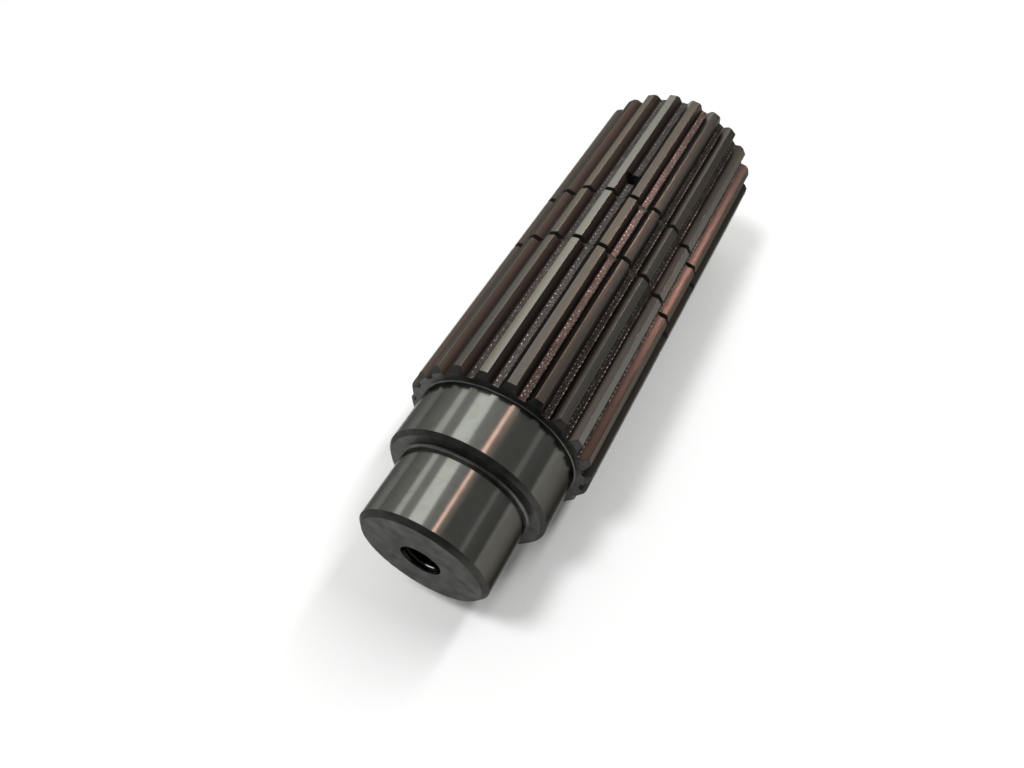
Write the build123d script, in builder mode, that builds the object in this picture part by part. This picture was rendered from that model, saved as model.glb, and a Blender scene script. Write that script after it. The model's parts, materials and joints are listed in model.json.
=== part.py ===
from build123d import *

import os
from math import acos, cos, pi, radians, sin, tan

# Splined shaft, lying at rest on two of its teeth.
#
# One steel bar, turned between centres, ground on its two bearing seats and
# hobbed along its wide end. From the near end towards the far end (+X) come a
# journal with a tapped centre hole, a grinding undercut, a collar, and the
# spline, which two ring grooves and one radial oil hole cross.

# ---------------------------------------------------------------------------
# Driving dimensions, in millimetres and degrees
# ---------------------------------------------------------------------------

# Involute spline, by its standard size
nominal_diameter = 60.0
module = 2.5
tooth_count = 22
pressure_angle = 30.0
hob_tip_radius = 0.4

# Shares of one module that the standard gives the tooth
reference_share = 1.1  # nominal diameter over the unshifted pitch diameter
tip_share = 0.1  # tips stop this far inside the nominal circle
root_share = 1.15  # hobbed roots lie this far inside the nominal circle

# Turned and ground diameters
journal_diameter = 40.0
collar_diameter = 50.0

# Lengths along the axis, in order from the near end
journal_length = 21.0
undercut_width = 2.0
collar_length = 18.8
spline_length = 141.2

# Chamfers at 45 degrees, and the corner where the collar meets the spline
journal_chamfer = 1.5
collar_chamfer = 1.25
crown_chamfer = 1.5
far_chamfer = 1.0
crown_corner_radius = 0.4

# Grinding undercut in front of the collar's shoulder
undercut_depth = 0.3
undercut_radius = 0.8

# Two ring grooves, placed from the spline's near face
ring_groove_width = 1.6
ring_groove_below_root = 0.125
first_groove_station = 59.3
groove_spacing = 24.3

# Tapped centre hole in the journal's end face, left at its major diameter
thread_diameter = 12.0
thread_depth = 28.0
thread_mouth_chamfer = 0.2
tap_drill_diameter = 10.2
tap_drill_depth = 34.0
drill_point_angle = 118.0

# Oil way: an axial bore from the far face and the radial hole that meets it
oil_hole_diameter = 5.0
oil_hole_station = 93.7
oil_bore_diameter = 8.0
oil_bore_overrun = 6.0
centre_seat_diameter = 12.5
centre_seat_angle = 60.0

# How far a cutting shape stands clear of the surface that it cuts through
cutter_clearance = 1.0
flank_point_count = 3

# ---------------------------------------------------------------------------
# Tooth geometry
# ---------------------------------------------------------------------------

alpha = radians(pressure_angle)
pitch_radius = module * tooth_count / 2
base_radius = pitch_radius * cos(alpha)
tip_radius = nominal_diameter / 2 - tip_share * module
root_radius = nominal_diameter / 2 - root_share * module
profile_shift = (nominal_diameter - module * (tooth_count + reference_share)) / 2
tooth_thickness = module * pi / 2 + 2 * profile_shift * tan(alpha)


def involute(angle):
    """Roll angle left over when an involute reaches this pressure angle."""
    return tan(angle) - angle


def space_half_angle(radius):
    """Half of the angle that one tooth space spans at this radius."""
    tooth_half_angle = tooth_thickness / (2 * pitch_radius) + involute(alpha)
    local_angle = acos(min(1.0, base_radius / radius))
    return pi / tooth_count - tooth_half_angle + involute(local_angle)


def flank_points(side):
    """Points up one flank of the lowest space, from the root past the tip."""
    rise = tip_radius + cutter_clearance - root_radius
    radii = [root_radius + rise * step / (flank_point_count - 1) for step in range(flank_point_count)]
    return [
        (side * radius * sin(space_half_angle(radius)), -radius * cos(space_half_angle(radius)))
        for radius in radii
    ]


# ---------------------------------------------------------------------------
# Places along the shaft and the planes that carry the sketches
# ---------------------------------------------------------------------------

shoulder_station = journal_length + undercut_width
crown_station = shoulder_station + collar_length
total_length = crown_station + spline_length

# The shaft rests on the inner tip corners of the two teeth beside its lowest space
axis_height = tip_radius * cos(space_half_angle(tip_radius))
near_end = (-total_length / 2, 0, axis_height)
far_end = (total_length / 2, 0, axis_height)

shaft_axis = Axis(near_end, (1, 0, 0))
turning_plane = Plane(origin=near_end, x_dir=(1, 0, 0), z_dir=(0, -1, 0))
far_turning_plane = Plane(origin=far_end, x_dir=(-1, 0, 0), z_dir=(0, 1, 0))
crown_plane = Plane(
    origin=(near_end[0] + crown_station, 0, axis_height), x_dir=(0, 1, 0), z_dir=(1, 0, 0)
)

journal_radius = journal_diameter / 2
collar_radius = collar_diameter / 2
undercut_floor = journal_radius - undercut_depth
groove_floor = root_radius - ring_groove_below_root
groove_stations = [
    crown_station + first_groove_station,
    crown_station + first_groove_station + groove_spacing,
]

# The oil hole enters the space opposite the one that the shaft rests over
oil_hole_angle = 2 * pi * (tooth_count // 2) / tooth_count - pi / 2
oil_hole_direction = Vector(0, cos(oil_hole_angle), sin(oil_hole_angle))
oil_hole_mouth = Plane(
    origin=Vector(near_end[0] + crown_station + oil_hole_station, 0, axis_height)
    + oil_hole_direction * (tip_radius + cutter_clearance),
    x_dir=(1, 0, 0),
    z_dir=oil_hole_direction,
)


def drill_point(diameter):
    """Length of the cone that a twist drill leaves at the bottom of its hole."""
    return diameter / 2 / tan(radians(drill_point_angle / 2))


# ---------------------------------------------------------------------------
# One tooth space, straight below the axis
# ---------------------------------------------------------------------------

with BuildSketch() as tooth_space:
    with BuildLine():
        left_flank = Spline(flank_points(-1))
        right_flank = Spline(flank_points(1))
        ThreePointArc(left_flank @ 0, (0, -root_radius), right_flank @ 0)
        Line(left_flank @ 1, right_flank @ 1)
    make_face()
    root_corners = tooth_space.vertices().group_by(Axis.Y)[-1]
    fillet(root_corners, radius=hob_tip_radius)

# ---------------------------------------------------------------------------
# The shaft
# ---------------------------------------------------------------------------

with BuildPart() as splined_shaft:
    # Turned blank, up to the tips of the teeth
    with BuildSketch(turning_plane):
        with BuildLine():
            journal_outline = Polyline(
                (0, 0),
                (0, journal_radius - journal_chamfer),
                (journal_chamfer, journal_radius),
                (journal_length, journal_radius),
                (shoulder_station - undercut_radius, undercut_floor),
            )
            undercut_corner = CenterArc(
                (shoulder_station - undercut_radius, undercut_floor + undercut_radius),
                undercut_radius,
                start_angle=270,
                arc_size=90,
            )
            collar_outline = Polyline(
                undercut_corner @ 1,
                (shoulder_station, collar_radius - collar_chamfer),
                (shoulder_station + collar_chamfer, collar_radius),
                (crown_station - crown_corner_radius, collar_radius),
            )
            crown_corner = CenterArc(
                (crown_station - crown_corner_radius, collar_radius + crown_corner_radius),
                crown_corner_radius,
                start_angle=270,
                arc_size=90,
            )
            Polyline(
                crown_corner @ 1,
                (crown_station, tip_radius - crown_chamfer),
                (crown_station + crown_chamfer, tip_radius),
                (total_length - far_chamfer, tip_radius),
                (total_length, tip_radius - far_chamfer),
                (total_length, 0),
                (0, 0),
            )
        make_face()
    revolve(axis=shaft_axis)

    # Tooth spaces, hobbed right through the wide end
    with BuildSketch(crown_plane):
        with PolarLocations(0, tooth_count):
            add(tooth_space.sketch)
    extrude(amount=spline_length + cutter_clearance, mode=Mode.SUBTRACT)

    # Ring grooves, turned down past the roots of the teeth
    with BuildSketch(turning_plane):
        for station in groove_stations:
            with Locations((station, groove_floor)):
                Rectangle(
                    ring_groove_width,
                    tip_radius + cutter_clearance - groove_floor,
                    align=(Align.CENTER, Align.MIN),
                )
    revolve(axis=shaft_axis, mode=Mode.SUBTRACT)

    # Tapped centre hole
    with BuildSketch(turning_plane):
        with BuildLine():
            Polyline(
                (0, 0),
                (0, thread_diameter / 2 + thread_mouth_chamfer),
                (thread_mouth_chamfer, thread_diameter / 2),
                (thread_depth, thread_diameter / 2),
                (thread_depth, tap_drill_diameter / 2),
                (tap_drill_depth, tap_drill_diameter / 2),
                (tap_drill_depth + drill_point(tap_drill_diameter), 0),
                close=True,
            )
        make_face()
    revolve(axis=shaft_axis, mode=Mode.SUBTRACT)

    # Oil bore from the far face, behind a conical seat for the lathe's centre
    oil_bore_depth = spline_length - oil_hole_station + oil_bore_overrun
    centre_seat_depth = (centre_seat_diameter - oil_bore_diameter) / 2 / tan(
        radians(centre_seat_angle / 2)
    )
    with BuildSketch(far_turning_plane):
        with BuildLine():
            Polyline(
                (0, 0),
                (0, centre_seat_diameter / 2),
                (centre_seat_depth, oil_bore_diameter / 2),
                (oil_bore_depth, oil_bore_diameter / 2),
                (oil_bore_depth + drill_point(oil_bore_diameter), 0),
                close=True,
            )
        make_face()
    revolve(axis=shaft_axis, mode=Mode.SUBTRACT)

    # Radial oil hole, down to the axis
    with Locations(oil_hole_mouth):
        Hole(radius=oil_hole_diameter / 2, depth=tip_radius + cutter_clearance)

splined_shaft.part.label = "splined_shaft"

os.makedirs("parts", exist_ok=True)
export_step(splined_shaft.part, "parts/splined_shaft.step")
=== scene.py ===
# %% [markdown]
# # A splined shaft in bare steel
# The real part is one bar of steel. A lathe turned it, a hob cut the teeth, a drill and a tap made the
# holes, and a grinder finished the two bearing seats. Each tool leaves its own marks. So this lesson first
# builds one clean mesh whose faces know which tool made them, then gives each tool's marks a material, and
# last hangs the lamps that the steel reflects.

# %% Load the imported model
import json
import math

import bmesh
import bpy
import numpy as np
from mathutils import Matrix, Vector


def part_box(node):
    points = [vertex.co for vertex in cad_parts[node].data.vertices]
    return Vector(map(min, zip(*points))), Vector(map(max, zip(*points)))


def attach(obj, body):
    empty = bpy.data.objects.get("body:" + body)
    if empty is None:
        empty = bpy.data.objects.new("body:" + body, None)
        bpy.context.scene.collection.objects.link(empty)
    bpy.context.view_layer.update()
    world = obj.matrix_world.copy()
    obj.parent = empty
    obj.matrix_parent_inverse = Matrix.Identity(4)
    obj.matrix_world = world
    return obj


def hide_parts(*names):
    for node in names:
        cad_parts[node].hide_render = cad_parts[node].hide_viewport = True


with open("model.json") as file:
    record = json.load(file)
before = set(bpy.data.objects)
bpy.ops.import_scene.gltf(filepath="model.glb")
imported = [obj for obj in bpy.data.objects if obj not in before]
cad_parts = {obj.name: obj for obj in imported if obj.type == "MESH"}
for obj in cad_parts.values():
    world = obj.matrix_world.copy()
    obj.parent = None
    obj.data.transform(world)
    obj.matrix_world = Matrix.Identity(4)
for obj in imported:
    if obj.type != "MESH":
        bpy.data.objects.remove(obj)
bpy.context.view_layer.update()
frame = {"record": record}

MM = 0.001

# %% [markdown]
# ## Sizes that the frame already knows
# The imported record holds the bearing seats, the tapped hole and the flat faces as mounts. Their sizes could
# be typed in again, but reading them keeps the visible bar on the solid one: if the CAD grows a longer
# journal, this script follows it.

# %% Read the mounts
mounts = {mount["name"]: mount for mount in frame["record"]["mounts"]}


def mount_x(name):
    """Where a mount lies along the shaft."""
    return mounts[name]["pos_m"][0]


def mount_radius(name):
    """Radius of a round mount."""
    return mounts[name]["dims"]["r_mm"] * MM


def mount_far_end(name):
    """Where a round mount's wall ends, on its side towards the far end."""
    return mount_x(name) + mounts[name]["dims"]["length_mm"] * MM / 2


low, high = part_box("splined_shaft")
axis_height = (low.z + high.z) / 2
near_x = mount_x("journal_end_face")
shoulder_x = mount_x("shoulder_face")
crown_x = mount_x("crown_face")
far_x = high.x
tip_radius = (high.y - low.y) / 2
journal_radius = mount_radius("journal_seat")
collar_radius = mount_radius("collar_seat")
print("axis height", round(axis_height / MM, 3), "tip radius", round(tip_radius / MM, 3))

# %% [markdown]
# ## The tooth form
# The flank of a spline tooth is an involute, the curve that the end of a taut string draws as it unwinds
# from a base circle. The hob that cuts it has rounded tips, which leave a small fillet in each root corner,
# and deburring leaves a small round on each tip corner. The section could be drawn by hand, but a formula
# gives every point its exact place and, which matters as much for shading, the same order every time: root,
# fillet, flank, corner, land.

# %% Spline sizes
TOOTH_COUNT = 22
MODULE = 2.5 * MM
PRESSURE_ANGLE = math.radians(30)
NOMINAL_RADIUS = 30 * MM
NOMINAL_CLEARANCE = 0.55
ROOT_RADIUS = 27.125 * MM
HOB_TIP_RADIUS = 0.4 * MM
TIP_CORNER_RADIUS = 0.14 * MM

pitch = 2 * math.pi / TOOTH_COUNT
pitch_radius = MODULE * TOOTH_COUNT / 2
base_radius = pitch_radius * math.cos(PRESSURE_ANGLE)
profile_shift = NOMINAL_RADIUS - pitch_radius - NOMINAL_CLEARANCE * MODULE
tooth_thickness = MODULE * math.pi / 2 + 2 * profile_shift * math.tan(PRESSURE_ANGLE)
print("tooth thickness on the pitch circle", round(tooth_thickness / MM, 3), "mm")


# %% One flank as a formula
def involute(angle):
    """How far the involute has turned round the axis where its pressure angle is this."""
    return math.tan(angle) - angle


def pressure_angle_at(radius):
    """Angle between the flank's normal and the way round the axis, which is zero on the base circle."""
    return math.acos(min(1.0, base_radius / radius))


def half_space(radius):
    """Half of the angle that a tooth space spans at this radius."""
    tooth = tooth_thickness / (2 * pitch_radius) + involute(PRESSURE_ANGLE)
    return pitch / 2 - tooth + involute(pressure_angle_at(radius))


def flank(radius):
    """Point on the flank of a space whose middle is the real axis, and the normal that looks into it."""
    point = radius * np.exp(1j * half_space(radius))
    return point, point / radius * np.exp(1j * (pressure_angle_at(radius) - math.pi / 2))


print("space at the root", round(math.degrees(2 * half_space(ROOT_RADIUS)), 2), "degrees")

# %% [markdown]
# ## Rounds that touch two curves
# A fillet is a ball that rests on the root circle and on the flank. Its place could be solved with algebra,
# but halving an interval until the ball touches both is shorter, and it serves the tip corner too, where
# the ball lies inside the tooth.

# %% Fit the rounds
HALVINGS = 50


def touching_radius(target, ball, side):
    """Radius on the flank where a ball touches both the flank and the circle of radius target.

    Side is 1 for a ball in the space, outside the circle, and -1 for one in the tooth, inside it.
    """
    lowest, highest = base_radius, tip_radius + MM
    for _ in range(HALVINGS):
        radius = (lowest + highest) / 2
        point, normal = flank(radius)
        if abs(point + side * ball * normal) < target + side * ball:
            lowest = radius
        else:
            highest = radius
    return radius


def arc(centre, start, end, steps):
    """Points on an arc about centre, from the direction start to the direction end, the short way."""
    turn = np.angle(end / start)
    return [centre + start * np.exp(1j * turn * k / steps) for k in range(steps + 1)]


print("root fillet ends at radius", round(touching_radius(ROOT_RADIUS, HOB_TIP_RADIUS, 1) / MM, 3), "mm")

# %% [markdown]
# ## The whole section as one ring of points
# Every toothed ring has the same number of points in the same order, so two rings at different places along
# the shaft join with plain quads. The quads between one pair of points all along the shaft form a column,
# and each column keeps a zone, such as root or land, which later picks its material. The two flanks of a
# space have zones of their own, because the hob's edges enter the steel at one and leave it at the other,
# and finish them differently.

# %% Build half of one tooth space
ROOT_STEPS = 4
FILLET_STEPS = 3
FLANK_STEPS = 6
CORNER_STEPS = 3
LAND_STEPS = 5


def half_section(limit):
    """Section from the middle of a space to the middle of the next tooth, with tips at limit.

    Returns its points and the zone of each column between them.
    """
    fillet_at = touching_radius(ROOT_RADIUS, HOB_TIP_RADIUS, 1)
    corner_at = touching_radius(limit, TIP_CORNER_RADIUS, -1)
    foot, foot_normal = flank(fillet_at)
    head, head_normal = flank(corner_at)
    fillet_centre = foot + HOB_TIP_RADIUS * foot_normal
    corner_centre = head - TIP_CORNER_RADIUS * head_normal
    inward = -fillet_centre / abs(fillet_centre) * HOB_TIP_RADIUS
    outward = corner_centre / abs(corner_centre) * TIP_CORNER_RADIUS
    root_end = np.angle(fillet_centre)
    land_start = np.angle(corner_centre)
    points = [ROOT_RADIUS * np.exp(1j * root_end * k / ROOT_STEPS) for k in range(ROOT_STEPS)]
    points += arc(fillet_centre, inward, -foot_normal * HOB_TIP_RADIUS, FILLET_STEPS)
    rise = (corner_at - fillet_at) / FLANK_STEPS
    points += [flank(fillet_at + rise * k)[0] for k in range(1, FLANK_STEPS)]
    points += arc(corner_centre, head_normal * TIP_CORNER_RADIUS, outward, CORNER_STEPS)
    sweep = (pitch / 2 - land_start) / LAND_STEPS
    points += [limit * np.exp(1j * (land_start + sweep * k)) for k in range(1, LAND_STEPS + 1)]
    zones = ["root"] * (ROOT_STEPS + FILLET_STEPS) + ["flank"] * FLANK_STEPS
    zones += ["land"] * (CORNER_STEPS + LAND_STEPS)
    return np.array(points), zones


print("points in half a space", len(half_section(tip_radius)[0]))


# %% Mirror it and repeat it round the axis
def section(limit):
    """The closed section with tips at limit, and the zone of each of its columns.

    The points are complex numbers, y + iz about the axis, which makes a turn a plain multiplication.
    """
    half, zones = half_section(limit)
    mirrored = np.conj(half[::-1]) * np.exp(1j * pitch)
    period = np.concatenate([half, mirrored[1:-1]])
    turns = np.exp(1j * (math.pi / 2 + pitch * np.arange(TOOTH_COUNT)))
    back_zones = ["back_flank" if zone == "flank" else zone for zone in zones[::-1]]
    return (turns[:, None] * period[None, :]).ravel(), (zones + back_zones) * TOOTH_COUNT


full_section, column_zone = section(tip_radius)
print(len(full_section), "points in a ring,", len(column_zone), "columns")

# %% [markdown]
# ## From rings to a bar
# A turned bar could be a revolved outline with its teeth cut by a boolean, but a boolean leaves random
# triangles, and the long highlights on polished steel show every one of them. Here the bar is a stack of
# rings. A ring is either a circle or the toothed section, and where an end chamfer cuts the teeth, the
# section simply has a smaller limit. All walls stay in one plane and all flanks stay straight.

# %% Sizes along the shaft
JOURNAL_LENGTH = 21.0 * MM
JOURNAL_CHAMFER = 1.5 * MM
COLLAR_CHAMFER = 1.25 * MM
CROWN_CHAMFER = 1.5 * MM
FAR_CHAMFER = 1.0 * MM
CROWN_CORNER_RADIUS = 0.4 * MM
UNDERCUT_DEPTH = 0.3 * MM
UNDERCUT_RADIUS = 0.8 * MM
HOLE_MOUTH_RADIUS = 6.2 * MM
EDGE_BREAK = 0.08 * MM
CORNER_ROUND = 0.12 * MM

journal_end_x = near_x + JOURNAL_LENGTH
undercut_radius = journal_radius - UNDERCUT_DEPTH
print("the teeth are", round((far_x - crown_x) / MM, 1), "mm long")

# %% [markdown]
# ## The turned end
# The lathe's outline has real corners, but no real corner is sharp: each has a round of about a tenth of a
# millimetre, and the thin line of light on it is what tells the eye that this is solid metal. A bevel
# modifier could round them, but it would also touch the teeth. So each corner of the outline is given with
# its own round. The first and last corners only steer their neighbours' rounds and are dropped: the mouth
# of the hole and the teeth take their places.

# %% Round the outline
ROUND_STEP = math.radians(15)


def rounded_outline(corners):
    """A turned outline through corners of (x, radius, rounding, finish).

    Returns a list of (x, radius, finish of the next band).
    """
    outline = []
    for k, (x, radius, rounding, finish) in enumerate(corners):
        here = complex(x, radius)
        if not rounding:
            outline.append((x, radius, finish))
            continue
        before = complex(*corners[k - 1][:2]) - here
        after = complex(*corners[k + 1][:2]) - here
        before, after = before / abs(before), after / abs(after)
        opening = abs(np.angle(after / before))
        centre = here + (before + after) / abs(before + after) * rounding / math.sin(opening / 2)
        reach = rounding / math.tan(opening / 2)
        steps = max(2, round((math.pi - opening) / ROUND_STEP))
        bend = arc(centre, here + before * reach - centre, here + after * reach - centre, steps)
        outline += [(p.real, p.imag, finish) for p in bend]
    return outline


near_outline = rounded_outline([
    (near_x, HOLE_MOUTH_RADIUS, 0, "turned"),
    (near_x, journal_radius - JOURNAL_CHAMFER, CORNER_ROUND, "chamfer"),
    (near_x + JOURNAL_CHAMFER, journal_radius, CORNER_ROUND, "ground"),
    (journal_end_x, journal_radius, EDGE_BREAK, "turned"),
    (shoulder_x - UNDERCUT_RADIUS, undercut_radius, 0, "turned"),
    (shoulder_x, undercut_radius, UNDERCUT_RADIUS, "turned"),
    (shoulder_x, collar_radius - COLLAR_CHAMFER, CORNER_ROUND, "chamfer"),
    (shoulder_x + COLLAR_CHAMFER, collar_radius, CORNER_ROUND, "ground"),
    (crown_x, collar_radius, CROWN_CORNER_RADIUS, "turned"),
    (crown_x, collar_radius + CROWN_CORNER_RADIUS + EDGE_BREAK, 0, "turned"),
    (crown_x, tip_radius, 0, "turned"),
])[1:-1]
print(len(near_outline), "rings in the turned end")


# %% Stack the rings of the turned end
rings = []


def add_ring(x, points, finish):
    """One ring of the stack, and the finish of the band between it and the next."""
    rings.append((x, points, finish))


even_rays = np.exp(1j * (math.pi / 2 + 2 * math.pi * np.arange(len(full_section)) / len(full_section)))
for x, radius, finish in near_outline:
    add_ring(x, radius * even_rays, finish)
print(len(rings), "rings so far")

# %% [markdown]
# ## The teeth and their ring grooves
# The spline starts at a flat crown, where the tooth ends are bevelled. Two ring grooves cross the teeth.
# Each is a wall, a floor and another wall, and since the floor lies just below the roots, it is a plain
# circle. Its points lie on the same rays as the section's, which keeps the quads on the walls straight. A
# band called teeth takes its finish from the columns. In the bevelled band the lands, which are the bevels
# there, are chamfers instead.

# %% Stack the rings of the teeth
GROOVE_WIDTH = 1.6 * MM
GROOVE_FLOOR_RADIUS = 27.0 * MM
GROOVE_STATIONS = (crown_x + 59.3 * MM, crown_x + 83.6 * MM)


def circle_like(points, radius):
    """A circle whose points lie on the same rays as these."""
    return radius * points / abs(points)


def inset(points, depth):
    """A section moved inwards all round by this depth."""
    along = np.roll(points, -1) - np.roll(points, 1)
    return points + 1j * depth * along / abs(along)


crown_limit = tip_radius - CROWN_CHAMFER
add_ring(crown_x, inset(section(crown_limit)[0], EDGE_BREAK), "chamfer")
add_ring(crown_x + EDGE_BREAK, section(crown_limit + EDGE_BREAK)[0], "bevelled_teeth")
add_ring(crown_x + CROWN_CHAMFER, full_section, "teeth")
for station in GROOVE_STATIONS:
    wall = station - GROOVE_WIDTH / 2
    other_wall = station + GROOVE_WIDTH / 2
    add_ring(wall - EDGE_BREAK, full_section, "teeth")
    add_ring(wall, inset(full_section, EDGE_BREAK), "groove")
    add_ring(wall, circle_like(full_section, GROOVE_FLOOR_RADIUS), "groove")
    add_ring(other_wall, circle_like(full_section, GROOVE_FLOOR_RADIUS), "groove")
    add_ring(other_wall, inset(full_section, EDGE_BREAK), "teeth")
    add_ring(other_wall + EDGE_BREAK, full_section, "teeth")
print(len(rings), "rings so far")

# %% [markdown]
# ## The far end and the oil bore
# The far face has a centre seat, the cone that carried the bar in the lathe, and an oil bore behind it. The
# stack of rings just turns round and runs back inside the bar: across the face, down the seat, along the
# bore and to the drill's point.

# %% Stack the rings of the far end
OIL_HOLE_X = crown_x + 93.7 * MM
OIL_BORE_RADIUS = 4.0 * MM
OIL_BORE_OVERRUN = 6.0 * MM
OIL_BORE_POINT_SHARE = 0.6
CENTRE_SEAT_RADIUS = 6.25 * MM
CENTRE_SEAT_HALF_ANGLE = math.radians(30)
POINT_RADIUS = 0.01 * MM

far_limit = tip_radius - FAR_CHAMFER
seat_depth = (CENTRE_SEAT_RADIUS - OIL_BORE_RADIUS) / math.tan(CENTRE_SEAT_HALF_ANGLE)
bore_end = OIL_HOLE_X - OIL_BORE_OVERRUN
add_ring(far_x - FAR_CHAMFER, full_section, "teeth")
add_ring(far_x - EDGE_BREAK, section(far_limit + EDGE_BREAK)[0], "teeth")
add_ring(far_x, inset(section(far_limit)[0], EDGE_BREAK), "turned")
add_ring(far_x, CENTRE_SEAT_RADIUS * even_rays, "turned")
add_ring(far_x - seat_depth, OIL_BORE_RADIUS * even_rays, "bore")
add_ring(bore_end, OIL_BORE_RADIUS * even_rays, "bore")
add_ring(bore_end - OIL_BORE_RADIUS * OIL_BORE_POINT_SHARE, POINT_RADIUS * even_rays, "bore")
print(len(rings), "rings of", len(full_section), "points")

# %% [markdown]
# ## The tapped hole
# The solid has a plain hole at the thread's largest diameter. The real hole shows bright thread crests, and
# a bump can't catch light at the mouth the way a ridge does, so the thread is modelled. Its rows of points
# follow the helix: each row climbs by one pitch in a turn and then joins the row of the next turn, so the
# ridge stays crisp with few points.

# %% The wall of the thread
THREAD_PITCH = 1.75 * MM
THREAD_CREST_RADIUS = 5.1 * MM
CREST_SHARE = 0.25
ROOT_SHARE = 0.125
RUN_OUT_SLOPE = 0.5
thread_radius = mount_radius("tapped_centre_hole")
thread_depth = mount_far_end("tapped_centre_hole") - near_x


def thread_wall(depth, turn):
    """Radius of the tapped wall at this depth behind the end face, after this share of a turn.

    The ridge fades where the tap stopped, and a countersink opens it at the mouth.
    """
    phase = (depth / THREAD_PITCH - turn) % 1
    from_crest = abs(2 * phase - 1)
    rise = min(1, max(0, (from_crest - CREST_SHARE) / (1 - CREST_SHARE - ROOT_SHARE)))
    ridge = THREAD_CREST_RADIUS + (thread_radius - THREAD_CREST_RADIUS) * rise
    run_out = THREAD_CREST_RADIUS + (thread_depth - depth) * RUN_OUT_SLOPE
    countersink = HOLE_MOUTH_RADIUS - depth
    return max(min(ridge, run_out), countersink)


print("thread depth", round(thread_depth / MM, 2), "mm")

# %% Rows along the helix
TAP_DRILL_DEPTH = 34.0 * MM
DRILL_POINT_DEPTH = 3.1 * MM
THREAD_COLUMNS = 84
ROWS_PER_PITCH = 8

turns = [column / THREAD_COLUMNS for column in range(THREAD_COLUMNS + 1)]
thread_rays = [1j * np.exp(2j * math.pi * turn) for turn in turns]
turn_count = math.ceil(thread_depth / THREAD_PITCH) + 1
thread_rows = []
for row in range(turn_count * ROWS_PER_PITCH + 1):
    thread_rows.append([])
    for turn, ray in zip(turns, thread_rays):
        depth = min(thread_depth, max(0, THREAD_PITCH * (row / ROWS_PER_PITCH - 1 + turn)))
        thread_rows[-1].append((near_x + depth, thread_wall(depth, turn) * ray))
drill_point_x = near_x + TAP_DRILL_DEPTH + DRILL_POINT_DEPTH
thread_rows.append([(near_x + TAP_DRILL_DEPTH, THREAD_CREST_RADIUS * ray) for ray in thread_rays])
thread_rows.append([(drill_point_x, POINT_RADIUS * ray) for ray in thread_rays])
print("the thread makes", turn_count - 1, "turns in", len(thread_rows), "rows")

# %% [markdown]
# ## One closed mesh
# The rings become vertices, neighbouring rings become quads, and every quad gets the finish of its band or,
# on the teeth, of its column. A mesh keeps a finish as the number of a material slot, so the slots come
# first, with empty materials that are filled further on.

# %% Name the finishes
FINISHES = ("ground", "turned", "chamfer", "land", "flank", "back_flank", "root", "groove", "bore")
finish_materials = [bpy.data.materials.new(finish + "_steel") for finish in FINISHES]


def paint(face, finish):
    """Gives a face its finish."""
    face.material_index = FINISHES.index(finish)


def outer_finish(row, column):
    """Finish of a quad on the outside of the bar."""
    band = rings[row][2]
    if band not in ("teeth", "bevelled_teeth"):
        return band
    zone = column_zone[column]
    return "chamfer" if band == "bevelled_teeth" and zone == "land" else zone


print("finishes:", ", ".join(FINISHES))


# %% Mesh the outside and the thread
def as_vertex(x, point):
    """A ring point as a place in the shared frame."""
    return (x, point.real, axis_height + point.imag)


def add_quads(bar, rows, finish_of):
    """Quads between neighbouring rows of vertices. finish_of(row, column) names each quad's finish."""
    for row, (lower, upper) in enumerate(zip(rows, rows[1:])):
        for column in range(len(lower) - 1):
            corners = (lower[column], lower[column + 1], upper[column + 1], upper[column])
            paint(bar.faces.new(corners), finish_of(row, column))


bar = bmesh.new()
outer_rows = [[bar.verts.new(as_vertex(x, point)) for point in points] for x, points, _ in rings]
add_quads(bar, [row + row[:1] for row in outer_rows], outer_finish)
paint(bar.faces.new(outer_rows[-1]), "bore")
wall_rows = [[bar.verts.new(as_vertex(*spot)) for spot in row] for row in thread_rows]
add_quads(bar, wall_rows, lambda row, column: "bore")
paint(bar.faces.new(wall_rows[-1][:-1]), "bore")
print("quads", len(bar.faces))

# %% [markdown]
# ## Close the end face
# The end face runs from the mouth of the hole out to the first ring, which has eleven points for each point
# of the mouth. One face for each step of the mouth takes them all. The thread's rows start and end on the
# same line, so their doubled points are merged, and then the bar is one closed body like the real one.

# %% Close the bar
MERGE_DISTANCE = MM / 10000
share = len(outer_rows[0]) // THREAD_COLUMNS
for column in range(THREAD_COLUMNS):
    outside = [outer_rows[0][k % len(outer_rows[0])] for k in range(column * share, (column + 1) * share + 1)]
    paint(bar.faces.new([wall_rows[0][column], wall_rows[0][column + 1]] + outside[::-1]), "turned")
bmesh.ops.remove_doubles(bar, verts=[vertex for row in wall_rows for vertex in row], dist=MERGE_DISTANCE)
bmesh.ops.recalc_face_normals(bar, faces=bar.faces[:])
print("faces", len(bar.faces), "open edges", sum(not edge.is_manifold for edge in bar.edges))


# %% Make the piece that stands for the solid
def object_from(bmesh_data, name):
    """A scene object that takes over a bmesh, with a slot for each finish."""
    mesh = bpy.data.meshes.new(name)
    bmesh_data.to_mesh(mesh)
    bmesh_data.free()
    for material in finish_materials:
        mesh.materials.append(material)
    piece = bpy.data.objects.new(name, mesh)
    bpy.context.scene.collection.objects.link(piece)
    return piece


shaft = object_from(bar, "machined_shaft")
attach(shaft, "root")
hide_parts("splined_shaft")
print("made", shaft.name, "with", len(shaft.data.vertices), "vertices")

# %% [markdown]
# ## The oil hole
# A drill ran through one tooth space down to the axial bore, and because the drill is wider than the space,
# it bit into both flanks. That curve is a true intersection, so here a boolean is the right tool. It
# touches only two flanks and a root, where a few long triangles do no harm.

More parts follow.
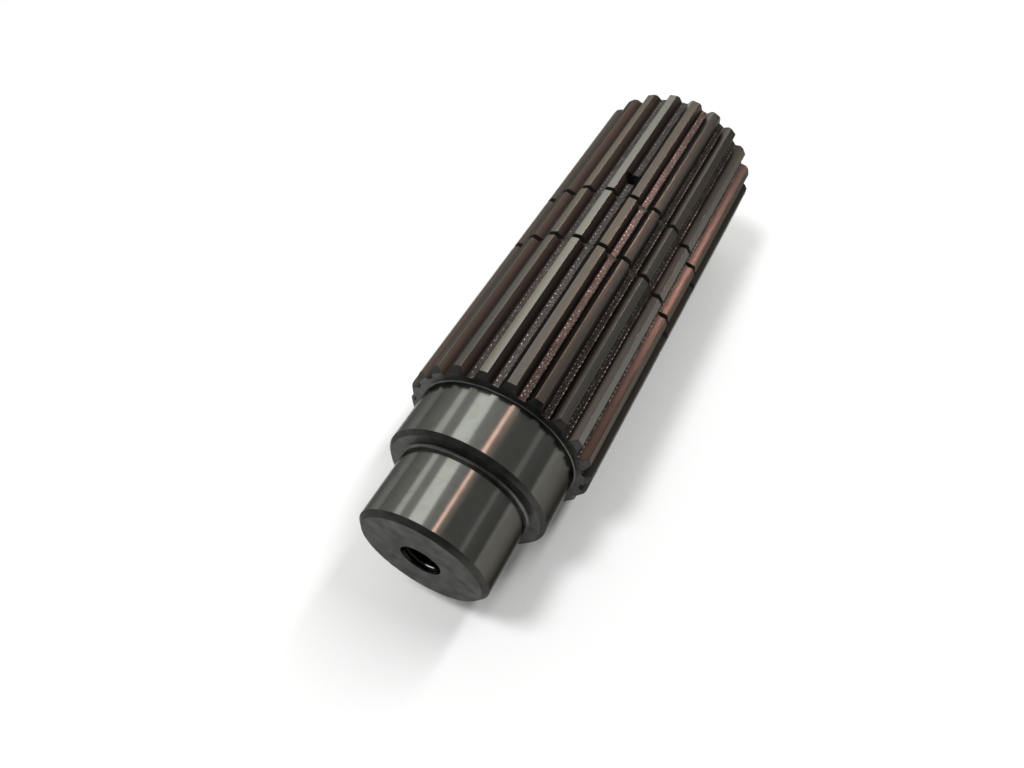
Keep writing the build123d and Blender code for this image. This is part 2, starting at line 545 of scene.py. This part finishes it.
# %% Drill the oil hole
OIL_HOLE_RADIUS = 2.5 * MM
DRILL_SIDES = 64
drill = bmesh.new()
drill_length = tip_radius + MM
drill_place = Matrix.Translation((OIL_HOLE_X, 0, axis_height + drill_length / 2))
bmesh.ops.create_cone(
    drill, cap_ends=True, segments=DRILL_SIDES, radius1=OIL_HOLE_RADIUS, radius2=OIL_HOLE_RADIUS,
    depth=drill_length, matrix=drill_place,
)
cutter = object_from(drill, "oil_hole_cutter")
for face in cutter.data.polygons:
    paint(face, "groove")
boolean = shaft.modifiers.new("oil_hole", "BOOLEAN")
boolean.operation = "DIFFERENCE"
boolean.solver = "EXACT"
boolean.object = cutter
drilled = bpy.data.meshes.new_from_object(shaft.evaluated_get(bpy.context.evaluated_depsgraph_get()))
shaft.modifiers.clear()
shaft.data = drilled
bpy.data.objects.remove(cutter)
print("faces after drilling", len(drilled.polygons))

# %% [markdown]
# ## Smooth where the tool moved on, sharp where it stopped
# Two turned surfaces meet in a crisp edge, but along each of them the metal is smooth. Marking edges by
# their angle says the same to Blender. The weighted normal modifier then lets each large face keep its true
# direction, so the narrow edge rounds take all of the bend and catch the light as thin lines.

# %% Shade the mesh
SHARP_ANGLE = math.radians(32)
drilled.shade_smooth()
drilled.set_sharp_from_angle(angle=SHARP_ANGLE)
weighted = shaft.modifiers.new("weighted_normals", "WEIGHTED_NORMAL")
weighted.keep_sharp = True
print("finishes in use:", sorted({FINISHES[face.material_index] for face in drilled.polygons}))

# %% [markdown]
# ## Helpers for node materials
# A node tree could be drawn by hand in Blender's editor. In a script, a few short helpers keep it as
# readable as a formula: one makes a node and plugs in what it gets, and the others wrap the nodes that
# every finish needs.

# %% Node helpers
def node(tree, kind, inputs=None, **settings):
    """A new shader node. Inputs are values or sockets, by name or index."""
    made = tree.nodes.new("ShaderNode" + kind)
    for name, value in settings.items():
        setattr(made, name, value)
    for name, value in (inputs or {}).items():
        if isinstance(value, bpy.types.NodeSocket):
            tree.links.new(value, made.inputs[name])
        else:
            made.inputs[name].default_value = value
    return made


def calc(tree, operation, first, second=0.0):
    """The result of one Math node."""
    return node(tree, "Math", {0: first, 1: second}, operation=operation).outputs[0]


def times(tree, first, second):
    """Two values multiplied, which also means both at once where they are shares from zero to one."""
    return calc(tree, "MULTIPLY", first, second)


def spread(tree, value, low_out, high_out, low_in=0.0, high_in=1.0):
    """A value moved from one range to another and kept inside it."""
    inputs = {"Value": value, "From Min": low_in, "From Max": high_in, "To Min": low_out, "To Max": high_out}
    return node(tree, "MapRange", inputs).outputs[0]


def blend_colours(tree, factor, first, second):
    """A colour between two others. The Mix node keeps its colour sockets at these places in its lists."""
    inputs = {0: factor, 6: first, 7: second}
    return node(tree, "Mix", inputs, data_type="RGBA").outputs[2]


# %% Pattern helpers
NOISE_RANGE = (0.3, 0.7)


def noise(tree, vector, scale, detail=3.0, roughness=0.5):
    """Smooth random values about one half, nearly all of them in NOISE_RANGE."""
    inputs = {"Vector": vector, "Scale": scale, "Detail": detail, "Roughness": roughness}
    return node(tree, "TexNoise", inputs).outputs["Fac"]


def stretched(tree, vector, scale):
    """A position with each axis scaled by itself, so that a noise on it is finer along the larger numbers."""
    return node(tree, "VectorMath", {0: vector, 1: scale}, operation="MULTIPLY").outputs[0]


def bump(tree, height, depth, under=None):
    """A normal from a height, on top of another normal if there is one. The depth is real, in metres."""
    inputs = {"Height": height, "Distance": depth}
    if under is not None:
        inputs["Normal"] = under
    return node(tree, "Bump", inputs).outputs[0]


# %% [markdown]
# ## Where a point is on a shaft
# Marks from a machine shop run along and around the axis, so X, Y and Z are poor words for them. One node
# group turns a point into its distance from the axis, its angle round it, the number of its tooth and its
# place across the tooth space: zero in the middle of the space, and half at the middles of the teeth on
# both sides. Every finish reads this group, and since all of it comes from the mesh, the marks stay on the
# steel from any side.

# %% Places on the shaft
def make_shaft_places():
    """Node group that gives a point's centred position and its shaft coordinates.

    Angles are in radians. They go from zero at +Y up over the top of the shaft.
    """
    group = bpy.data.node_groups.new("shaft_places", "ShaderNodeTree")
    place = node(group, "TexCoord").outputs["Object"]
    centred = node(group, "VectorMath", {0: place, 1: (0, 0, axis_height)}, operation="SUBTRACT").outputs[0]
    split = node(group, "SeparateXYZ", {0: centred})
    spoke = node(group, "CombineXYZ", {"Y": split.outputs["Y"], "Z": split.outputs["Z"]}).outputs[0]
    radius = node(group, "VectorMath", {0: spoke}, operation="LENGTH").outputs["Value"]
    angle = calc(group, "ARCTAN2", split.outputs["Z"], split.outputs["Y"])
    pitches = calc(group, "DIVIDE", calc(group, "SUBTRACT", angle, math.pi / 2), pitch)
    tooth = calc(group, "FLOOR", pitches)
    across = calc(group, "SUBTRACT", pitches, calc(group, "ROUND", pitches))
    outputs = {"Position": centred, "Radius": radius, "Angle": angle, "Tooth": tooth, "Across": across}
    for name in outputs:
        kind = "NodeSocketVector" if name == "Position" else "NodeSocketFloat"
        group.interface.new_socket(name, in_out="OUTPUT", socket_type=kind)
    out = group.nodes.new("NodeGroupOutput")
    for name, value in outputs.items():
        group.links.new(value, out.inputs[name])
    return group


shaft_places = make_shaft_places()
print("shaft coordinates:", [item.name for item in shaft_places.interface.items_tree])


# %% Start a finish
def start_material(finish):
    """Fills the waiting material of a finish with a new Principled shader, as (tree, shader, places)."""
    material = finish_materials[FINISHES.index(finish)]
    material.use_nodes = True
    tree = material.node_tree
    tree.nodes.clear()
    shader = node(tree, "BsdfPrincipled", {"Metallic": 1.0})
    out = tree.nodes.new("ShaderNodeOutputMaterial")
    tree.links.new(shader.outputs[0], out.inputs[0])
    places = tree.nodes.new("ShaderNodeGroup")
    places.node_tree = shaft_places
    return tree, shader, places.outputs


def connect(tree, shader, **sockets):
    """Plugs values into the Principled shader, by socket name with _ for a space."""
    for name, value in sockets.items():
        tree.links.new(value, shader.inputs[name.replace("_", " ")])


def set_edge_tint(shader, tint):
    """How much steel brightens where it is seen nearly edge on. Oily steel does so less than clean steel."""
    shader.inputs["Specular Tint"].default_value = (tint, tint, tint, 1)


# %% [markdown]
# ## Ground seats
# A grinding wheel leaves hair-fine lines that run round the shaft. They are far too fine to model, and
# their effect is what the eye reads: a highlight stays narrow across the shaft and smears along it.
# Principled's anisotropy does that from a tangent that runs round the X axis, and a faint bump with a few
# deeper lines breaks it up. On its -Y side, above mid height, each seat is painted darker, a painted shade
# that darkens its reflection there. The shade's upper edge wanders, so it is an angle with a slow noise
# added.

# %% Ground steel
GRINDING_LINES = (9000, 25, 25)
GRINDING_DEPTH = 0.004 * MM
POLISH_CLOUDS = (60, 160, 160)
POLISH_ROUGHNESS = (0.15, 0.18)
SMEAR = 0.6
QUARTER_TURN = 0.25
SEAT_EDGE_TINT = 0.3
SEAT_DARK = (0.155, 0.157, 0.146, 1)
SEAT_LIGHT = (0.18, 0.183, 0.17, 1)
SEAT_STAIN = (0.145, 0.142, 0.128, 1)
SEAT_STAIN_SCALE = 320.0
# Colour of the painted shade on the -Y side of the seats, above mid height.
SEAT_SHADE_COLOUR = (0.045, 0.041, 0.032, 1)
SEAT_SHADE_START = 2.45
SEAT_SHADE_FULL = 2.75
SEAT_SHADE_SHARE = 0.6
SEAT_SHADE_WANDER = 0.3
SEAT_SHADE_WAVES = (8, 60, 60)


def seat_colour(tree, places, lines):
    """Grey that follows the grinding lines, with small warm stains."""
    colour = blend_colours(tree, lines, SEAT_DARK, SEAT_LIGHT)
    mottle = noise(tree, places["Position"], SEAT_STAIN_SCALE)
    return blend_colours(tree, spread(tree, mottle, 0.0, 0.7, 0.45, 0.75), colour, SEAT_STAIN)


def add_painted_seat_shade(tree, places, colour):
    """Painted shade above mid height on the -Y side, which darkens the seat's reflection there."""
    waves = noise(tree, stretched(tree, places["Position"], SEAT_SHADE_WAVES), 1.0)
    wandering_angle = calc(tree, "ADD", places["Angle"], times(tree, waves, SEAT_SHADE_WANDER))
    seat_shade = spread(tree, wandering_angle, 0.0, SEAT_SHADE_SHARE, SEAT_SHADE_START, SEAT_SHADE_FULL)
    return blend_colours(tree, seat_shade, colour, SEAT_SHADE_COLOUR)


def ground_steel():
    """Fills the finish of the two bearing seats."""
    tree, shader, places = start_material("ground")
    lines = noise(tree, stretched(tree, places["Position"], GRINDING_LINES), 1.0, detail=4.0, roughness=0.6)
    clouds = noise(tree, stretched(tree, places["Position"], POLISH_CLOUDS), 1.0)
    # Painted shade on the -Y side above mid height, on top of the ground colour.
    colour = add_painted_seat_shade(tree, places, seat_colour(tree, places, lines))
    connect(tree, shader, Base_Color=colour, Normal=bump(tree, lines, GRINDING_DEPTH))
    connect(tree, shader, Roughness=spread(tree, clouds, *POLISH_ROUGHNESS, *NOISE_RANGE))
    connect(tree, shader, Tangent=node(tree, "Tangent", direction_type="RADIAL", axis="X").outputs[0])
    shader.inputs["Anisotropic"].default_value = SMEAR
    shader.inputs["Anisotropic Rotation"].default_value = QUARTER_TURN
    set_edge_tint(shader, SEAT_EDGE_TINT)
    print("ground steel has", len(tree.nodes), "nodes")


ground_steel()

# %% [markdown]
# ## Turned faces
# End faces, shoulders, the crown and the undercut keep the rings that the lathe's tip cut. The rings are
# circles on a face and lines round a cone, so one number serves both: the distance from the axis plus the
# distance along it. Rings in the mesh would need thousands of faces, and a wave texture makes them too
# even, while a noise along that one number has the uneven depth of real cuts. Chamfers are the same finish
# in darker colours, a painted shade for the dark surroundings that they reflect.

# %% Turned steel
LATHE_RINGS = 5000
RING_DRIFT = (30, 30, 30)
RING_DEPTH = 0.01 * MM
TURNED_MOTTLE = 260.0
TURNED_ROUGHNESS = (0.34, 0.46)


def lathe_rings(tree, places):
    """Height of the lathe's rings, which drift a little so that no ring is perfect."""
    along = node(tree, "SeparateXYZ", {0: places["Position"]}).outputs["X"]
    travel = calc(tree, "ADD", along, places["Radius"])
    track = node(tree, "CombineXYZ", {"X": times(tree, travel, LATHE_RINGS)}).outputs[0]
    drift = stretched(tree, places["Position"], RING_DRIFT)
    rings_at = node(tree, "VectorMath", {0: track, 1: drift}, operation="ADD").outputs[0]
    return noise(tree, rings_at, 1.0, detail=4.0, roughness=0.6)


def turned_steel(finish, dark, light, edge_tint):
    """Fills a finish of the lathe, mottled between two colours."""
    tree, shader, places = start_material(finish)
    mottle = noise(tree, places["Position"], TURNED_MOTTLE)
    colour = blend_colours(tree, spread(tree, mottle, 0.0, 1.0, *NOISE_RANGE), dark, light)
    connect(tree, shader, Base_Color=colour, Normal=bump(tree, lathe_rings(tree, places), RING_DEPTH))
    connect(tree, shader, Roughness=spread(tree, mottle, *TURNED_ROUGHNESS, *NOISE_RANGE))
    set_edge_tint(shader, edge_tint)
    print(finish, "steel has", len(tree.nodes), "nodes")


turned_steel("turned", dark=(0.1, 0.1, 0.098, 1), light=(0.165, 0.165, 0.162, 1), edge_tint=0.4)
# Chamfers: a darker copy of the turned finish, painted shade.
turned_steel("chamfer", dark=(0.042, 0.041, 0.04, 1), light=(0.07, 0.069, 0.066, 1), edge_tint=0.5)

# %% [markdown]
# ## Marks of the hob
# A hob cuts each flank with a row of shallow scoops, one for each turn of the work, so flanks and roots
# carry feed marks a little under two millimetres apart. They are only microns deep, and as geometry they
# would cost a million faces. So they are a bump: the absolute value of a sine makes a row of soft arches
# with a fine line between each two, which is how the scoops read at this size. Each tooth's marks lie at
# another place, so a random step for each tooth keeps neighbours out of line.

# %% Hob marks
HOB_FEED = 1.75 * MM


def hob_marks(tree, places):
    """Height of the hob's feed scoops, with every tooth out of step with its neighbour."""
    along = node(tree, "SeparateXYZ", {0: places["Position"]}).outputs["X"]
    step = node(tree, "TexWhiteNoise", {"W": places["Tooth"]}, noise_dimensions="1D").outputs["Value"]
    phase = calc(tree, "ADD", calc(tree, "DIVIDE", along, HOB_FEED), step)
    return calc(tree, "ABSOLUTE", calc(tree, "SINE", times(tree, phase, math.pi)))


print("feed marks along a flank:", round((far_x - crown_x) / HOB_FEED))

# %% [markdown]
# ## Painted shade in the tooth spaces
# The bottom of a tooth space is painted nearly black, a painted shade where little light reaches. On the
# flanks it fades out within two millimetres above the root. On the root itself it covers the side next to
# the back flank. A painted mask would need an unwrapped mesh, but radius and place across the space already
# say where it is.

# %% Painted shade in the depths
DEPTH_SHADE_COLOUR = (0.026, 0.022, 0.02, 1)
DEPTH_SHADE_HEIGHT = 2.0 * MM


def paint_depth_shade(tree, places, colour):
    """Painted shade that fades out up a flank."""
    depth = spread(tree, places["Radius"], 1.0, 0.0, ROOT_RADIUS + 0.3 * MM, ROOT_RADIUS + DEPTH_SHADE_HEIGHT)
    return blend_colours(tree, depth, colour, DEPTH_SHADE_COLOUR)


def shaded_side(tree, places):
    """One on the part of a root with painted shade, and zero on the rest."""
    return spread(tree, places["Across"], 1.0, 0.0, -0.1, -0.055)


print("painted shade reaches", round(DEPTH_SHADE_HEIGHT / MM, 1), "mm up the flanks")

# %% [markdown]
# ## Painted glints on the roots
# Under a low lamp the roots sparkle, and here the sparkle is painted into the colour: bright specks on the
# part of the floor outside the painted shade, and at each feed mark a bright dot, in the corner under the
# front flank and along the edge of the painted shade. Real dots come and go, so a slow noise lets only some
# of them show. They could be tiny mirrors in the mesh, but as light spots in the base colour of a metal they
# brighten only where a lamp is reflected.

# %% Painted glints: specks and dots
SPECK_SCALE = 2800.0
SPECK_SHARE = 0.38
DEPTH_SHADE_EDGE = 0.06
PATCH_SCALE = 260.0
PAINTED_GLINT_COLOUR = (0.85, 0.79, 0.76, 1)


def painted_speck_glints(tree, places, shaded_part):
    """Painted glints: bright specks in the colour, on the part of the floor outside the painted shade."""
    grains = noise(tree, places["Position"], SPECK_SCALE, detail=1.0)
    specks = spread(tree, grains, 0.0, SPECK_SHARE, 0.62, 0.71)
    return times(tree, specks, calc(tree, "SUBTRACT", 1.0, shaded_part))


def painted_feed_glints(tree, places, marks):
    """A painted glint at each feed mark, in the corner under the front flank and along the edge of the
    painted shade.
    """
    in_corner = spread(tree, places["Radius"], 0.0, 1.0, ROOT_RADIUS + 0.02 * MM, ROOT_RADIUS + 0.07 * MM)
    in_corner = times(tree, in_corner, calc(tree, "GREATER_THAN", places["Across"], 0.0))
    off_edge = calc(tree, "ABSOLUTE", calc(tree, "ADD", places["Across"], DEPTH_SHADE_EDGE))
    on_edge = spread(tree, off_edge, 1.0, 0.0, 0.009, 0.02)
    in_dot = spread(tree, marks, 1.0, 0.0, 0.1, 0.35)
    some = spread(tree, noise(tree, places["Position"], PATCH_SCALE, detail=1.0), 0.0, 1.0, 0.42, 0.52)
    return times(tree, times(tree, calc(tree, "MAXIMUM", in_corner, on_edge), in_dot), some)


def add_glints(tree, places, marks, colour):
    """Painted shade on one side of a root, and painted glints as bright specks and dots on the rest."""
    shaded_part = shaded_side(tree, places)
    colour = blend_colours(tree, shaded_part, colour, DEPTH_SHADE_COLOUR)
    glints = calc(tree, "MAXIMUM", painted_speck_glints(tree, places, shaded_part), painted_feed_glints(tree, places, marks))
    return blend_colours(tree, glints, colour, PAINTED_GLINT_COLOUR)


print("specks are about", round(1 / SPECK_SCALE / MM, 2), "mm apart")

# %% [markdown]
# ## Painted glints in the tapped hole
# Down a hole hardly any light arrives, so its wall is painted nearly black, a painted shade. Only the crests
# of the thread shine, and only on one side, so there they get a painted highlight. They are picked by
# radius, since the crests come nearest to the axis, and by the angle of that side.

# %% Painted glints on the thread crests
CREST_GLINT_COLOUR = (0.85, 0.84, 0.82, 1)
CREST_GLINT_SIDE = 1.9


def paint_crest_glints(tree, places, colour):
    """Painted highlight on the thread crests on one side of the hole."""
    behind_crest = calc(tree, "SUBTRACT", places["Radius"], THREAD_CREST_RADIUS)
    on_crest = spread(tree, behind_crest, 1.0, 0.0, 0.1 * MM, 0.3 * MM)
    off_side = calc(tree, "ABSOLUTE", calc(tree, "ADD", places["Angle"], CREST_GLINT_SIDE))
    crest_glint = times(tree, on_crest, spread(tree, off_side, 1.0, 0.0, 0.15, 0.35))
    return blend_colours(tree, crest_glint, colour, CREST_GLINT_COLOUR)


print("the painted glint side is", round(math.degrees(CREST_GLINT_SIDE)), "degrees below the +Y side")

# %% [markdown]
# ## Finishes of the teeth and the holes
# The lands were turned before the hob came, so they are the smoothest and greyest. The flanks are darker
# and browner, with streaks along the cut. The hob leaves a shine on the front flanks and tears the back
# flanks a little, so those are duller. Roots, ring grooves and holes are painted darker with their depth, a
# painted shade. Six materials written out one by one would drift apart, so one recipe covers them all:
# streaks along the teeth, broad stains, feed marks and fine grain, each with its own numbers, and on some
# finishes painted shade and painted glints.

# %% A finish of the spline
STREAKS = (35, 2200, 2200)
STAINS = (14, 420, 420)
GRAIN_SCALE = 4500.0
# Painted light added on top of some finishes: painted shade on the flanks, painted highlights on the thread
# crests.
PAINTED_LIGHT_BY_FINISH = {"flank": paint_depth_shade, "back_flank": paint_depth_shade, "bore": paint_crest_glints}


def tooth_steel(finish, dark, light, stain, rough, scoops, grain, edge_tint, metallic=1.0):
    """Fills a finish of the spline. Scoops and grain are the depths of the feed marks and of the grain."""
    tree, shader, places = start_material(finish)
    streaks = noise(tree, stretched(tree, places["Position"], STREAKS), 1.0, roughness=0.6)
    stains = noise(tree, stretched(tree, places["Position"], STAINS), 1.0, detail=2.0)
    marks = hob_marks(tree, places)
    colour = blend_colours(tree, streaks, dark, light)
    colour = blend_colours(tree, spread(tree, stains, 0.0, 0.8, 0.45, 0.65), colour, stain)
    if finish in PAINTED_LIGHT_BY_FINISH:
        colour = PAINTED_LIGHT_BY_FINISH[finish](tree, places, colour)
    # Roots get painted shade on one side and painted glints on the rest.
    if finish == "root":
        colour = add_glints(tree, places, marks, colour)
    connect(tree, shader, Base_Color=colour, Roughness=spread(tree, streaks, *rough, *NOISE_RANGE))
    scooped = bump(tree, marks, scoops)
    grains = noise(tree, places["Position"], GRAIN_SCALE, detail=2.0)
    connect(tree, shader, Normal=bump(tree, grains, grain, under=scooped))
    shader.inputs["Metallic"].default_value = metallic
    set_edge_tint(shader, edge_tint)
    print(finish, "steel has", len(tree.nodes), "nodes")


# %% Lands, flanks and roots
tooth_steel(
    "land", dark=(0.125, 0.121, 0.109, 1), light=(0.16, 0.156, 0.142, 1), stain=(0.165, 0.142, 0.115, 1),
    rough=(0.22, 0.27), scoops=0, grain=0.002 * MM, edge_tint=0.3,
)
tooth_steel(
    "flank", dark=(0.05, 0.044, 0.039, 1), light=(0.085, 0.074, 0.066, 1), stain=(0.075, 0.057, 0.049, 1),
    rough=(0.26, 0.34), scoops=0.004 * MM, grain=0.004 * MM, edge_tint=0.9,
)
tooth_steel(
    "back_flank", dark=(0.07, 0.06, 0.052, 1), light=(0.105, 0.09, 0.078, 1), stain=(0.095, 0.073, 0.06, 1),
    rough=(0.55, 0.62), scoops=0.004 * MM, grain=0.008 * MM, edge_tint=1.0,
)
# Roots: painted dark for their depth, a painted shade, with painted glints on top.
tooth_steel(
    "root", dark=(0.028, 0.024, 0.023, 1), light=(0.052, 0.045, 0.042, 1), stain=(0.04, 0.031, 0.028, 1),
    rough=(0.3, 0.38), scoops=0.006 * MM, grain=0.01 * MM, edge_tint=0.5, metallic=0.8,
)

# %% Grooves and holes
# Grooves: a darker copy of the steel, painted shade in the recess.
tooth_steel(
    "groove", dark=(0.035, 0.033, 0.029, 1), light=(0.065, 0.061, 0.054, 1), stain=(0.045, 0.04, 0.034, 1),
    rough=(0.5, 0.6), scoops=0, grain=0.01 * MM, edge_tint=0.7, metallic=0.6,
)
# The bore is painted nearly black, a painted shade, with painted highlights on its crests.
tooth_steel(
    "bore", dark=(0.01, 0.01, 0.01, 1), light=(0.02, 0.02, 0.019, 1), stain=(0.014, 0.013, 0.013, 1),
    rough=(0.24, 0.3), scoops=0, grain=0.004 * MM, edge_tint=0.4,
)

# %% [markdown]
# ## The floor
# The shaft lies on plain pale paper. A brighter lamp would turn the paper white, but it would also wash out
# the steel. So the paper's own colour is pale, and a faint glow that only the camera and reflections see
# lifts it the last step to white. The glow is the same all over, so the shadow under the shaft stays.

# %% The floor
FLOOR_SIZE = 4.0
FLOOR_GREY = 0.81
FLOOR_ROUGHNESS = 0.9
FLOOR_LIFT = 0.04

corner = FLOOR_SIZE / 2
floor_corners = [(-corner, -corner, 0), (corner, -corner, 0), (corner, corner, 0), (-corner, corner, 0)]
floor_mesh = bpy.data.meshes.new("floor")
floor_mesh.from_pydata(floor_corners, [], [(0, 1, 2, 3)])
floor = bpy.data.objects.new("floor", floor_mesh)
bpy.context.scene.collection.objects.link(floor)
print("the floor is", FLOOR_SIZE, "m wide")

# %% Its paper
paper = bpy.data.materials.new("pale_floor")
paper.use_nodes = True
paper_tree = paper.node_tree
paper_shader = paper_tree.nodes["Principled BSDF"]
paper_shader.inputs["Base Color"].default_value = (FLOOR_GREY, FLOOR_GREY, FLOOR_GREY, 1)
paper_shader.inputs["Roughness"].default_value = FLOOR_ROUGHNESS
paper_shader.inputs["Specular IOR Level"].default_value = 0
paper_shader.inputs["Emission Color"].default_value = (1, 1, 1, 1)
rays = node(paper_tree, "LightPath").outputs
seen = calc(paper_tree, "MAXIMUM", rays["Is Camera Ray"], rays["Is Glossy Ray"])
seen = calc(paper_tree, "MAXIMUM", seen, rays["Is Transmission Ray"])
connect(paper_tree, paper_shader, Emission_Strength=times(paper_tree, seen, FLOOR_LIFT))
floor.data.materials.append(paper)
print("paper grey", FLOOR_GREY, "lifted by", FLOOR_LIFT)

# %% [markdown]
# ## Lamps to be seen in the steel
# Polished metal has no look of its own. It shows what is around it, so the lamps are placed for their
# reflections: long level boxes above the shaft draw pale bands along it, and narrow warm ones a rosy line
# and the glow on one side of the teeth. One flat world colour would leave the shaft a grey tube. A box is
# given by the angles at which its two long edges stand over the shaft. These lamps give the floor no light.
# Boxes in one plane would share their light where they overlap, so two of the warm ones hang at other
# heights.

# %% A lamp by its place
shaft_centre = Vector((0, 0, axis_height))


def hang_lamp(name, place, facing, size, radiance, colour):
    """A rectangular lamp. Facing is a rotation whose Z axis points away from the lit side."""
    lamp = bpy.data.lights.new(name, "AREA")
    lamp.shape = "RECTANGLE"
    lamp.size, lamp.size_y = size
    lamp.energy = radiance * math.pi * lamp.size * lamp.size_y
    lamp.color = colour
    holder = bpy.data.objects.new(name, lamp)
    bpy.context.scene.collection.objects.link(holder)
    holder.matrix_world = Matrix.Translation(place) @ facing.to_4x4()
    print("hung", name)
    return holder


def ceiling_box(name, sides, reach, radiance, colour, slant=0.0, height=1.0):
    """A level lamp above the shaft, which only shows in reflections.

    Sides are the angles of its long edges from overhead towards +Y. Reach is where it starts and ends along
    X, and slant turns it in plan. All angles are in degrees.
    """
    nearest, farthest = (height * math.tan(math.radians(side)) for side in sides)
    turn = Matrix.Rotation(math.radians(slant), 3, "Z")
    pivot = Vector((0, (nearest + farthest) / 2, height))
    place = shaft_centre + pivot + turn @ Vector(((reach[0] + reach[1]) / 2, 0, 0))
    size = (reach[1] - reach[0], (farthest - nearest) * math.cos(math.radians(slant)))
    box = hang_lamp(name, place, turn, size, radiance, colour)
    box.visible_diffuse = False


# %% Hang the boxes
COOL_WHITE = (0.97, 1.0, 0.95)
ceiling_box("wide_box", (5.1, 28.3), (-0.2, 2.4), 1.75, COOL_WHITE, slant=15.0)
ceiling_box("narrow_box", (44.8, 56.5), (-0.2, 3.6), 1.05, COOL_WHITE, slant=15.0)
ceiling_box("far_strip", (-64.6, -57.2), (-0.2, 2.4), 0.3, (0.94, 1.0, 0.93))
ceiling_box("warm_tube", (-11.7, -7.3), (0.15, 0.62), 4.6, (1.0, 0.62, 0.53), slant=-3.3)
ceiling_box("warm_glow", (-22.0, -9.0), (0.11, 1.43), 0.22, (1.0, 0.62, 0.38), height=1.1)
ceiling_box("far_warm_lamp", (-19.0, -14.3), (0.87, 1.09), 66.0, (1.0, 0.62, 0.55), height=0.95)
ceiling_box("far_glow", (-8.0, 8.0), (0.72, 2.4), 0.35, (1.0, 0.85, 0.7))

# %% [markdown]
# ## Lamps for the shadow
# The floor needs light of its own, and a shadow with a soft edge and a clear side. Two lamps give it: one
# square lamp high on the +Y side, towards the near end, and one long lamp on the other side, towards the
# far end. They are hidden from reflections, so they can be moved for the shadow alone.

# %% Hang the shadow's lamps
WHITE = (1, 1, 1)
side_place = shaft_centre + Vector((-0.45, 0.49, 1.5))
side_facing = (side_place - shaft_centre).to_track_quat("Z", "Y").to_matrix()
shadow_side = hang_lamp("shadow_side", side_place, side_facing, (0.35, 0.35), 37.0, WHITE)
shadow_side.visible_glossy = False

key_place = shaft_centre + Vector((0.5, -0.33, 1.0))
shadow_key = hang_lamp("shadow_key", key_place, Matrix.Identity(3), (0.9, 0.12), 22.0, WHITE)
shadow_key.visible_glossy = False

# %% [markdown]
# ## The room around it
# Between the lamps the steel reflects the room. The room is the world: dim grey that is brighter towards
# the far end, a paler wall on the +Y side that brightens upwards, and a window in the far corner on that
# side. A picture of a room would do the same, but three soft ramps over the direction are lighter, and each
# has one clear effect.

# %% The room
ROOM_COLOUR = (1, 1, 0.98, 1)
ROOM_LEVEL = 0.27

world = bpy.data.worlds.new("studio")
bpy.context.scene.world = world
world.use_nodes = True
room = world.node_tree
outward = node(room, "SeparateXYZ", {0: node(room, "TexCoord").outputs["Generated"]}).outputs
low_level = times(room, spread(room, outward["X"], 0.3, 1.0, -0.7, 0.3), ROOM_LEVEL)
wall_side = spread(room, outward["Y"], 0.0, 0.5, -0.4, 0.05)
wall_height = spread(room, outward["Z"], 0.4, 1.0, 0.0, 0.7)
wall_length = spread(room, outward["X"], 0.55, 1.0, -0.7, 0.3)
wall = times(room, times(room, wall_side, wall_height), wall_length)
window_far = spread(room, outward["X"], 0.0, 1.0, 0.58, 0.78)
window_side = spread(room, outward["Y"], 0.0, 1.0, 0.4, 0.6)
window = times(room, window_far, window_side)
strength = calc(room, "ADD", calc(room, "ADD", wall, low_level), window)
connect(room, room.nodes["Background"], Strength=strength)
room.nodes["Background"].inputs["Color"].default_value = ROOM_COLOUR
bpy.context.scene.view_settings.view_transform = "Standard"
print("the room has", len(room.nodes), "nodes")

# %% [markdown]
# ## The camera
# The shaft is seen from above its near end, looking along it towards the far end, close enough for the
# lines to draw together. A camera could be aimed with a constraint, but plain angles keep the view free of
# helpers: the heading in plan and the dip below the horizon.

# %% The camera
CAMERA_PLACE = Vector((-62.0, -59.1, 191.05)) * MM + Vector((near_x, 0, axis_height))
CAMERA_HEADING = 28.0
CAMERA_DIP = 54.67
SENSOR_WIDTH = 36.0
LENS = 27.206
LENS_SHIFT = (0.0039, 0.0123)
CLIP_START = 0.01

camera_data = bpy.data.cameras.new("camera")
camera_data.sensor_width = SENSOR_WIDTH
camera_data.lens = LENS
camera_data.shift_x, camera_data.shift_y = LENS_SHIFT
camera_data.clip_start = CLIP_START
camera = bpy.data.objects.new("camera", camera_data)
bpy.context.scene.collection.objects.link(camera)
camera.location = CAMERA_PLACE
camera.rotation_euler = (math.radians(90 - CAMERA_DIP), 0, math.radians(CAMERA_HEADING - 90))
bpy.context.scene.camera = camera
print("camera at", [round(v / MM) for v in CAMERA_PLACE], "mm")
